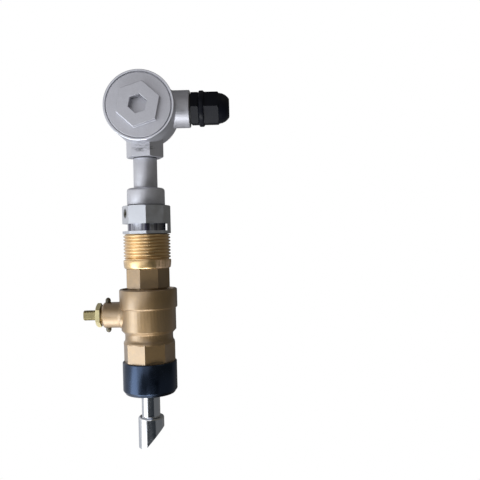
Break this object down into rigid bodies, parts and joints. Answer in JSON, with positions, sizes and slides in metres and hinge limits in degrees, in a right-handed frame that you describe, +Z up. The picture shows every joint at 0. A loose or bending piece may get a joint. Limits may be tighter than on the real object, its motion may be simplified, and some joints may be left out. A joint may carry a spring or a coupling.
{
  "type": "insertion ultrasonic flow sensor",
  "caption": "Upright ultrasonic flow probe on a ball valve and weld base: bevelled probe head below, slotted holder, packing nut, and a cast terminal box with cable gland on top.",
  "frame": {"origin": "centre of the weld base's underside, where it is welded to the pipe", "axes": "+Z up along the probe and the valve's way; +X towards the cable gland, away from the valve's spindle; -Y towards the screw cover of the terminal box"},
  "size_m": [0.1425, 0.0644, 0.349],
  "materials": {
    "black_steel": "near-black gloss on steel",
    "forged_brass": "forged and bead-blasted",
    "bright_brass": "bright machined",
    "green_brass": "dull machined",
    "cast_aluminium": "bead-blasted cast",
    "machined_steel": "machined stainless",
    "stainless": "polished stainless",
    "dark_steel": "dark, as rolled",
    "nylon": "moulded, slightly grained",
    "rubber": "matt",
    "ptfe": "waxy",
    "ceramic": "fired, silvered faces",
    "resin": "cast resin",
    "lead": "cable sheath",
    "block": "moulded"
  },
  "bodies": {
    "valve": {"weld_base": "black_steel", "valve_body": "forged_brass", "valve_end": "forged_brass", "seat_lower": "ptfe", "seat_upper": "ptfe", "spindle_packing": "ptfe", "spindle_gland_nut": "green_brass", "stop_pins": "dark_steel", "threaded_nipple": "bright_brass", "probe_holder": "machined_steel", "holder_seal_rings": "rubber"},
    "valve_spindle": {"spindle": "green_brass", "ball": "stainless"},
    "collet": {"clamp_collet": "stainless"},
    "probe": {"probe_tube": "stainless", "probe_head": "stainless", "piezo_disc": "ceramic", "backing_block": "resin", "signal_lead": "lead", "neck_sleeve": "cast_aluminium", "neck_seal": "rubber", "terminal_box": "cast_aluminium", "terminal_block": "block", "terminal_screws": "stainless", "gland_washer": "rubber", "gland_body": "nylon"},
    "packing_travel": {"thrust_ring": "stainless"},
    "packing_nut": {"packing_nut": "cast_aluminium"},
    "grub_travel": {"grub_pad": "bright_brass"},
    "grub_screw": {"grub_screw": "dark_steel"},
    "cover_travel": {"cover_seal_ring": "rubber"},
    "cover": {"box_cover": "cast_aluminium"},
    "gland_travel": {"gland_seal": "rubber"},
    "gland_nut": {"gland_nut": "nylon"}
  },
  "joints": [
    {"name": "spindle_turn", "type": "hinge", "parent": "valve", "child": "valve_spindle", "pos_m": [0, 0, 0.0741], "axis": [1, 0, 0], "range_deg": [0, 12]},
    {"name": "aim_turn", "type": "hinge", "parent": "valve", "child": "collet", "pos_m": [0, 0, 0.1503], "axis": [0, 0, 1], "continuous": true},
    {"name": "probe_slide", "type": "slide", "parent": "collet", "child": "probe", "axis": [0, 0, 1], "range_m": [-0.0025, 0.15]},
    {"name": "packing_travel", "type": "slide", "parent": "valve", "child": "packing_travel", "axis": [0, 0, 1], "range_m": [0, 0.0045]},
    {"name": "packing_turn", "type": "hinge", "parent": "packing_travel", "child": "packing_nut", "pos_m": [0, 0, 0.1768], "axis": [0, 0, 1], "range_deg": [0, 1080]},
    {"name": "grub_travel", "type": "slide", "parent": "valve", "child": "grub_travel", "axis": [-0.8695, -0.4939, 0], "range_m": [0, 0.003]},
    {"name": "grub_turn", "type": "hinge", "parent": "grub_travel", "child": "grub_screw", "pos_m": [0, 0, 0.1694], "axis": [-0.8695, -0.4939, 0], "range_deg": [0, 1080]},
    {"name": "cover_travel", "type": "slide", "parent": "probe", "child": "cover_travel", "axis": [0, -1, 0], "range_m": [0, 0.012]},
    {"name": "cover_turn", "type": "hinge", "parent": "cover_travel", "child": "cover", "pos_m": [0, 0, 0.2659], "axis": [0, -1, 0], "range_deg": [0, 2160]},
    {"name": "gland_travel", "type": "slide", "parent": "probe", "child": "gland_travel", "axis": [1, 0, 0], "range_m": [0, 0.0075]},
    {"name": "gland_turn", "type": "hinge", "parent": "gland_travel", "child": "gland_nut", "pos_m": [0, 0, 0.2677], "axis": [1, 0, 0], "range_deg": [0, 1800]}
  ],
  "couplings": [
    {"joint": "packing_travel", "follows": "packing_turn", "m_per_rad": 0.00023873},
    {"joint": "grub_turn", "follows": "grub_travel", "rad_per_m": 6283.2},
    {"joint": "cover_travel", "follows": "cover_turn", "m_per_rad": 0.0003183},
    {"joint": "gland_travel", "follows": "gland_turn", "m_per_rad": 0.00023873}
  ]
}
